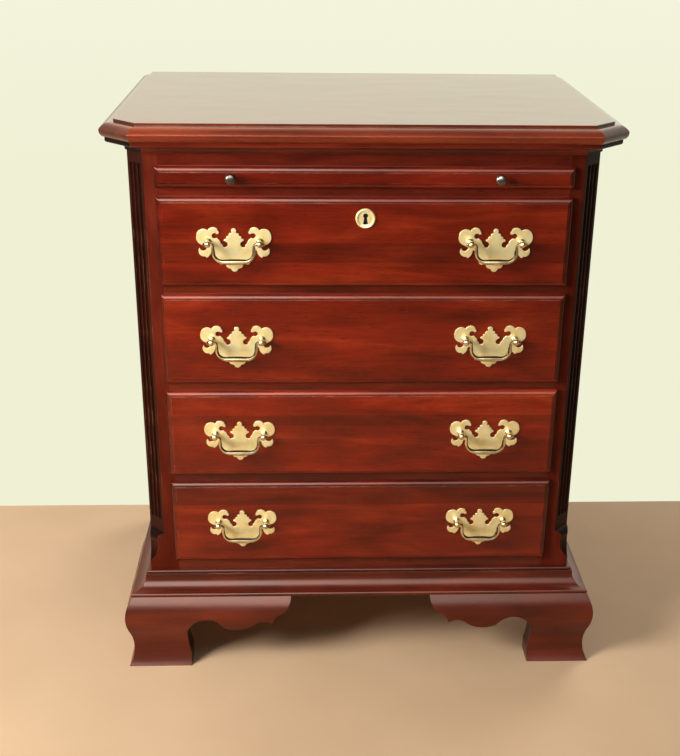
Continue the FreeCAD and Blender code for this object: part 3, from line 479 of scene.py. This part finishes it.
def skin(shape, rings, closed=False):
    """Skins a row of point rings, and closes the row on itself or caps its ends."""
    loops = [[shape.verts.new(point) for point in ring] for ring in rings]
    pairs = list(zip(loops, loops[1:]))
    if closed:
        pairs.append((loops[-1], loops[0]))
    else:
        shape.faces.new(loops[0])
        shape.faces.new(loops[-1])
    for here, there in pairs:
        for index in range(len(here)):
            after = (index + 1) % len(here)
            shape.faces.new((here[index], here[after], there[after], there[index]))


def round_points(at, radius, height, steps):
    """Points of a circle that faces the viewer and stands forward by a height."""
    points = []
    for step in range(steps):
        angle = 2 * math.pi * step / steps
        points.append(at + Vector((math.cos(angle) * radius, -height, math.sin(angle) * radius)) * MM)
    return points


def add_turning(shape, profile, at, steps):
    """Adds a piece turned about a line towards the viewer, from (radius, height) points."""
    skin(shape, [round_points(at, radius, height, steps) for radius, height in profile])


def add_ring(shape, profile, at):
    """Adds an open ring about a line towards the viewer, from a closed (radius, height) profile."""
    circles = [round_points(at, radius, height, RING_STEPS) for radius, height in profile]
    skin(shape, list(zip(*circles)), closed=True)


def add_rod(shape, path, at):
    """Adds a round rod along a path in the upright plane, from (x, z, radius) points."""
    rings = []
    for index, (x, z, radius) in enumerate(path):
        before = path[max(index - 1, 0)]
        after = path[min(index + 1, len(path) - 1)]
        along = Vector((after[0] - before[0], 0, after[1] - before[1])).normalized()
        side = Vector((-along.z, 0, along.x))
        ring = []
        for step in range(ROD_STEPS):
            angle = 2 * math.pi * step / ROD_STEPS
            offset = side * math.cos(angle) * radius + Vector((0, -1, 0)) * math.sin(angle) * radius
            ring.append(at + (Vector((x, 0, z)) + offset) * MM)
        rings.append(ring)
    skin(shape, rings)


def arc(centre, radius, start, end, steps):
    """Points of an arc, with angles in degrees."""
    points = []
    for step in range(steps + 1):
        angle = math.radians(start + (end - start) * step / steps)
        points.append((centre[0] + radius * math.cos(angle), centre[1] + radius * math.sin(angle)))
    return points


def bent(start, end, bend):
    """Points after the start of an edge that bulges to the left by bend times half its length."""
    if not bend:
        return [end]
    start, end = Vector(start), Vector(end)
    chord = end - start
    sweep = 4 * math.atan(bend)
    radius = chord.length / (2 * math.sin(sweep / 2))
    left = Vector((-chord.y, chord.x)).normalized()
    centre = (start + end) / 2 - left * radius * math.cos(sweep / 2)
    spoke = start - centre
    points = []
    for step in range(1, BEND_STEPS + 1):
        turn = -sweep * step / BEND_STEPS
        points.append((centre.x + spoke.x * math.cos(turn) - spoke.y * math.sin(turn),
                       centre.y + spoke.x * math.sin(turn) + spoke.y * math.cos(turn)))
    return points


def add_plate(shape, outlines, at, thickness, edge):
    """Adds a flat plate with a softened rim. The first outline is the rim and the rest are holes."""
    curve = bpy.data.curves.new("plate", "CURVE")
    curve.dimensions = "2D"
    curve.fill_mode = "BOTH"
    curve.extrude = (thickness / 2 - edge) * MM
    curve.bevel_depth = edge * MM
    curve.offset = -edge * MM
    for outline in outlines:
        spline = curve.splines.new("POLY")
        spline.points.add(len(outline) - 1)
        for point, (x, z) in zip(spline.points, outline):
            point.co = (x * MM, z * MM, 0, 1)
        spline.use_cyclic_u = True
    holder = bpy.data.objects.new("plate", curve)
    bpy.context.collection.objects.link(holder)
    bpy.context.view_layer.update()
    mesh = bpy.data.meshes.new_from_object(holder)
    bpy.data.objects.remove(holder)
    mesh.transform(Matrix.Translation(at) @ Matrix.Rotation(math.pi / 2, 4, "X"))
    shape.from_mesh(mesh)
    bpy.data.meshes.remove(mesh)


# Pulls, drawn about the middle of the bail's pivot line

POST_SPACING = 63
PLATE_EDGE = 0.45

# Right half of the batwing plate, clockwise from the top, as (x, z, bend of the edge to the next point)
PLATE_RIGHT = (
    (0, 16.6, 0.6), (2.8, 11.9, -0.3), (3.4, 10.4, 0.65), (6.2, 8.0, -0.3), (6.7, 6.7, 0.65),
    (9.2, 4.5, -0.3), (9.7, 3.4, 0.5), (12.2, 1.4, 0), (9.2, -0.4, -0.95), (13.4, -6.7, 0.3),
    (16.2, -2.5, 0.25), (19.2, 3.0, 0.2), (21.2, 4.5, -2.3), (20.6, 9.5, 0), (18.3, 9.6, 0.38),
    (19.6, 14.0, 0.38), (21.8, 17.2, 0.42), (31.4, 14.0, 0.62), (45.5, 7.5, 0.42), (38.6, -4.1, 0.1),
    (33.2, -6.9, -0.95), (42.0, -7.7, 0.72), (35.2, -18.5, 0.2), (33.8, -20.3, 0.28), (27.9, -12.1, -0.8),
    (24.2, -12.1, 0.24), (19.4, -24.9, 0.6), (14.2, -28.4, 0.1), (10.4, -28.3, 0.42), (6.4, -33.7, -0.3),
    (3.6, -35.9, 0.3), (0, -37.8, 0),
)

# A turned post from its foot on the plate to its round end, as (radius, height)
POST_PROFILE = (
    (4.6, 0), (4.6, 0.8), (3.9, 1.6), (2.7, 2.6), (2.4, 4.5), (2.5, 6.6), (3.2, 8.0), (3.9, 9.6),
    (4.2, 11.4), (4.0, 13.2), (3.2, 14.8), (2.0, 15.8), (0.6, 16.1),
)
POST_STEPS = 24

# The pin's round end, as (distance from its tip, radius)
PIN_END = ((0, 0.6), (0.5, 1.8), (1.2, 2.4), (1.9, 1.9), (2.3, 1.6))
PIN_REACH = 37.6
PIN_RADIUS = 1.6

# The bail below its pins: two legs that bend into a grip
BAIL_HALF = 24.75
BAIL_DROP = 22
BAIL_BEND = 12
BAIL_BEND_STEPS = 14
BAIL_ELBOW = 3
BAIL_ELBOW_STEPS = 6
BAIL_RADIUS = 2.2
GRIP_RADIUS = 3.6
GRIP_HALF = 23
GRIP_TAPER = 1.2
GRIP_STEPS = 12


def plate_outline():
    """Outline of a batwing plate, clockwise from the top, with its left half mirrored from the right one."""
    right = [PLATE_RIGHT[0][:2]]
    for (x, z, bend), after in zip(PLATE_RIGHT, PLATE_RIGHT[1:]):
        right += bent((x, z), after[:2], bend)
    return right + [(-x, z) for x, z in reversed(right[1:-1])]


def bail_radius(x):
    """Radius of the bail, which swells from its legs to the middle of the grip."""
    swell = math.cos(0.5 * math.pi * min(1, abs(x) / GRIP_HALF)) ** GRIP_TAPER
    return BAIL_RADIUS + (GRIP_RADIUS - BAIL_RADIUS) * swell


def bail_path():
    """The bail as one bent rod with a swelling grip, from the left pin round to the right one."""
    left = [(-PIN_REACH + along, 0, radius) for along, radius in PIN_END]
    elbow = arc((-BAIL_HALF - BAIL_ELBOW, -BAIL_ELBOW), BAIL_ELBOW, 90, 0, BAIL_ELBOW_STEPS)
    corner = arc((-BAIL_HALF + BAIL_BEND, -BAIL_DROP + BAIL_BEND), BAIL_BEND, 180, 270, BAIL_BEND_STEPS)
    left += [(x, z, PIN_RADIUS) for x, z in elbow]
    left += [(x, z, bail_radius(x)) for x, z in corner]
    for step in range(1, GRIP_STEPS + 1):
        x = corner[-1][0] * (1 - step / GRIP_STEPS)
        left.append((x, -BAIL_DROP, bail_radius(x)))
    return left + [(-x, z, radius) for x, z, radius in reversed(left[:-1])]


def pivot_of(bail):
    """Middle of the line that a bail swings about."""
    joint = next(joint for joint in frame["joints"] if joint["name"] == f"{bail}_swing")
    return Vector(joint["pos_m"])


def make_pulls(plate_brass, post_brass, bail_brass_painted_shade):
    """Dresses each drawer with two batwing plates, four turned posts and two bails."""
    for drawer in DRAWERS:
        low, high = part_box(f"{drawer}_backplates")
        face, back = low[1], high[1]
        plates = bmesh.new()
        posts = bmesh.new()
        for side in SIDES:
            bail = f"{drawer}_{side}_bail"
            pivot = pivot_of(bail)
            middle = Vector((pivot.x, (face + back) / 2, pivot.z))
            add_plate(plates, [plate_outline()], middle, (back - face) / MM, PLATE_EDGE)
            for offset in (-POST_SPACING / 2, POST_SPACING / 2):
                foot = Vector((pivot.x + offset * MM, face, pivot.z))
                add_turning(posts, POST_PROFILE, foot, POST_STEPS)
            rod = bmesh.new()
            add_rod(rod, bail_path(), pivot)
            finish_piece(mesh_piece(f"{bail}_rod", rod), bail_brass_painted_shade, bail, bail)
        finish_piece(mesh_piece(f"{drawer}_batwings", plates), plate_brass, drawer, f"{drawer}_backplates")
        finish_piece(mesh_piece(f"{drawer}_turned_posts", posts), post_brass, drawer, f"{drawer}_pull_posts")


# Escutcheon, drawn about its middle

DISC_RADIUS = 11.2
DISC_THICKNESS = 1.2
DISC_EDGE = 0.25
DISC_STEPS = 48
RIM_PROFILE = (
    (12.4, 0), (12.4, 0.6), (11.9, 1.5), (11.1, 2.1), (10.2, 2.0), (9.2, 1.5), (8.0, 1.0), (8.0, 0),
)
NAIL_PROFILE = ((1.1, 0), (1.0, 0.4), (0.6, 0.75), (0.1, 0.85))
NAIL_STEPS = 12
NAIL_PLACES = ((-10.4, -1.6), (10.4, -1.6))
NAIL_HEIGHT = 1.6
KEYHOLE_RADIUS = 3.0
KEYHOLE_STEPS = 24
KEYHOLE_LIFT = 3.4
KEYHOLE_NECK = 1.7
KEYHOLE_FLARE = 3.0
KEYHOLE_DROP = 7.3


def keyhole_outline():
    """A round eye over a slot that flares to its foot."""
    half = math.degrees(math.asin(KEYHOLE_NECK / KEYHOLE_RADIUS))
    eye = arc((0, KEYHOLE_LIFT), KEYHOLE_RADIUS, -90 + half, 270 - half, KEYHOLE_STEPS)
    return eye + [(-KEYHOLE_FLARE, -KEYHOLE_DROP), (KEYHOLE_FLARE, -KEYHOLE_DROP)]


def make_escutcheon(brass):
    """A flat disc with a rolled rim, a keyhole and two nails."""
    low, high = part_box("escutcheon")
    back = Vector(((low[0] + high[0]) / 2, high[1], (low[2] + high[2]) / 2))
    middle = back - Vector((0, DISC_THICKNESS / 2 * MM, 0))
    disc = arc((0, 0), DISC_RADIUS, 0, 360 - 360 / DISC_STEPS, DISC_STEPS - 1)
    shape = bmesh.new()
    add_plate(shape, [disc, keyhole_outline()], middle, DISC_THICKNESS, DISC_EDGE)
    add_ring(shape, RIM_PROFILE, back)
    for x, z in NAIL_PLACES:
        add_turning(shape, NAIL_PROFILE, back + Vector((x, -NAIL_HEIGHT, z)) * MM, NAIL_STEPS)
    finish_piece(mesh_piece("keyhole_plate", shape), brass, "drawer_1", "escutcheon")


# Knobs of the slide, from the foot on its front to the round end, as (radius, height)

KNOB_PROFILE = (
    (4.6, 0), (4.6, 0.8), (3.6, 1.6), (2.9, 3.2), (2.9, 4.6), (3.8, 6.0), (5.4, 6.9), (6.4, 8.0),
    (6.5, 9.2), (6.0, 10.4), (4.6, 11.4), (2.6, 11.9), (0.4, 12.0),
)
KNOB_STEPS = 32


def make_knobs(pewter):
    """Two turned knobs, one at each end of their node's box."""
    low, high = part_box("slide_knobs")
    radius = (high[2] - low[2]) / 2
    shape = bmesh.new()
    for x in (low[0] + radius, high[0] - radius):
        add_turning(shape, KNOB_PROFILE, Vector((x, high[1], (low[2] + high[2]) / 2)), KNOB_STEPS)
    finish_piece(mesh_piece("turned_knobs", shape), pewter, "slide", "slide_knobs")


# Floor and wall, in metres

FLOOR_HALF = 4.0
FLOOR_TONES = ((0.3, (0.61, 0.41, 0.24)), (0.7, (0.66, 0.45, 0.27)))
FLOOR_WAVES = (5, 5, 5)
FLOOR_ROUGHNESS = 0.85
FLOOR_SPECULAR = 0.1
WALL_PLACE = 0.26
WALL_HEIGHT = 3.0

# Colours up the wall, by the share of its height
WALL_TONES = ((0.2, (0.87, 0.87, 0.66)), (0.5, (0.97, 0.97, 0.88)))


def floor_paint():
    """Matt paint, faintly uneven."""
    look = Shader("floor_paint")
    look.feed(look.ramp(look.noise(FLOOR_WAVES), FLOOR_TONES), "Base Color")
    look.set(Roughness=FLOOR_ROUGHNESS, Specular_IOR_Level=FLOOR_SPECULAR)
    return look.material


def wall_paint():
    """A pale backdrop that glows by itself and is clear from behind."""
    look = Shader("wall_paint")
    height = look.between(look.place("Z"), 0.0, 1.0, 0.0, WALL_HEIGHT)
    glow = look.add("ShaderNodeEmission")
    look.link(look.ramp(height, WALL_TONES), glow.inputs["Color"])
    clear = look.add("ShaderNodeBsdfTransparent")
    either = look.add("ShaderNodeMixShader")
    look.link(look.add("ShaderNodeNewGeometry").outputs["Backfacing"], either.inputs[0])
    look.link(glow.outputs[0], either.inputs[1])
    look.link(clear.outputs[0], either.inputs[2])
    look.link(either.outputs[0], look.tree.nodes["Material Output"].inputs["Surface"])
    look.tree.nodes.remove(look.shader)
    return look.material


def add_sheet(name, corners, material):
    """Adds one flat face to the stage."""
    shape = bmesh.new()
    shape.faces.new([shape.verts.new(corner) for corner in corners])
    mesh = bpy.data.meshes.new(name)
    shape.to_mesh(mesh)
    shape.free()
    sheet = bpy.data.objects.new(name, mesh)
    bpy.context.collection.objects.link(sheet)
    mesh.materials.append(material)
    return sheet


def make_room():
    """A plain floor, and a wall that shows only from the front and adds no light to matt surfaces."""
    half = FLOOR_HALF
    ground = [(-half, -half), (half, -half), (half, half), (-half, half)]
    add_sheet("floor", [(x, y, 0) for x, y in ground], floor_paint())
    upright = [(-half, 0), (half, 0), (half, WALL_HEIGHT), (-half, WALL_HEIGHT)]
    wall = add_sheet("wall", [(x, WALL_PLACE, z) for x, z in upright], wall_paint())
    wall.visible_diffuse = False
    wall.visible_shadow = False


# Light. A lamp has a place and a target, a size across and along, and a power in watts

FRONT_LAMP = ((-1.30, -0.90, 1.1), (0, 0, 0.4), (0.7, 0.6), 40)
OVERHEAD_LAMP = ((0, -1.1, 2.7), (0, -1.1, 0), (1.8, 2.2), 10)
REAR_LAMP = ((1.4, 1.5, 1.4), (0, 0.2, 0.4), (1.2, 1.2), 32)
WORLD_COLOUR = (1.0, 0.97, 0.92, 1)
WORLD_LIGHT = 0.10

# Two leaning panels side by side that show only in the sheen, as name, middle across, width and power
SHEENS = (("bright_sheen", -0.75, 1.5, 122), ("dim_sheen", 0.6, 1.2, 36))
SHEEN_PLACE = (-2.70, 2.33)
SHEEN_TARGET = (-0.30, 0.51)
SHEEN_LENGTH = 2.98


def add_lamp(name, place, target, size, power):
    """Adds a rectangular lamp that is out of the camera's sight."""
    light = bpy.data.lights.new(name, "AREA")
    light.shape = "RECTANGLE"
    light.size, light.size_y = size
    light.energy = power
    lamp = bpy.data.objects.new(name, light)
    lamp.location = place
    lamp.rotation_euler = (Vector(target) - Vector(place)).to_track_quat("-Z", "Y").to_euler()
    lamp.visible_camera = False
    bpy.context.collection.objects.link(lamp)
    return lamp


def make_light():
    """A lamp at the front left, one overhead, one behind, two sheen panels and a little light all round."""
    world = bpy.data.worlds.new("studio")
    world.use_nodes = True
    background = world.node_tree.nodes["Background"]
    background.inputs["Color"].default_value = WORLD_COLOUR
    background.inputs["Strength"].default_value = WORLD_LIGHT
    bpy.context.scene.world = world
    add_lamp("front", *FRONT_LAMP)
    overhead = add_lamp("overhead", *OVERHEAD_LAMP)
    overhead.visible_glossy = False
    add_lamp("rear", *REAR_LAMP)
    for name, across, width, power in SHEENS:
        place = (across,) + SHEEN_PLACE
        target = (across,) + SHEEN_TARGET
        sheen = add_lamp(name, place, target, (width, SHEEN_LENGTH), power)
        sheen.visible_diffuse = False


# Camera of the photograph

CAMERA_PLACE = (-0.0663, -1.6433, 1.0018)
CAMERA_YAW = math.radians(2.49)
CAMERA_PITCH = math.radians(23.54)
CAMERA_ROLL = math.radians(0.77)
CAMERA_LENS = 57.74
CAMERA_SHIFT = (-0.0267, 0.0480)


def make_camera():
    """A camera that looks forward and down and leans a little, with a plain view of the colours."""
    camera = bpy.data.cameras.new("camera")
    camera.lens = CAMERA_LENS
    camera.shift_x, camera.shift_y = CAMERA_SHIFT
    forward = Vector((math.sin(CAMERA_YAW) * math.cos(CAMERA_PITCH),
                      math.cos(CAMERA_YAW) * math.cos(CAMERA_PITCH), -math.sin(CAMERA_PITCH)))
    right = Vector((math.cos(CAMERA_YAW), -math.sin(CAMERA_YAW), 0))
    up = right.cross(forward)
    turn = Matrix((right * math.cos(CAMERA_ROLL) + up * math.sin(CAMERA_ROLL),
                   up * math.cos(CAMERA_ROLL) - right * math.sin(CAMERA_ROLL), -forward)).transposed()
    obj = bpy.data.objects.new("camera", camera)
    obj.matrix_world = Matrix.Translation(CAMERA_PLACE) @ turn.to_4x4()
    bpy.context.collection.objects.link(obj)
    bpy.context.scene.camera = obj
    bpy.context.scene.view_settings.view_transform = "Standard"


# The nightstand in its studio

dress_show_wood()
dress_bare_wood()
dress_lock()
plate_brass = metal("plate_brass", PLATE_BRASS)
post_brass = metal("post_brass", BAIL_BRASS)
# The bails' brass carries painted shade on its inside
bail_brass_painted_shade = metal("bail_brass_painted_shade", BAIL_BRASS, bail=True)
make_pulls(plate_brass, post_brass, bail_brass_painted_shade)
make_escutcheon(plate_brass)
make_knobs(metal("knob_pewter", PEWTER))
make_room()
make_light()
make_camera()
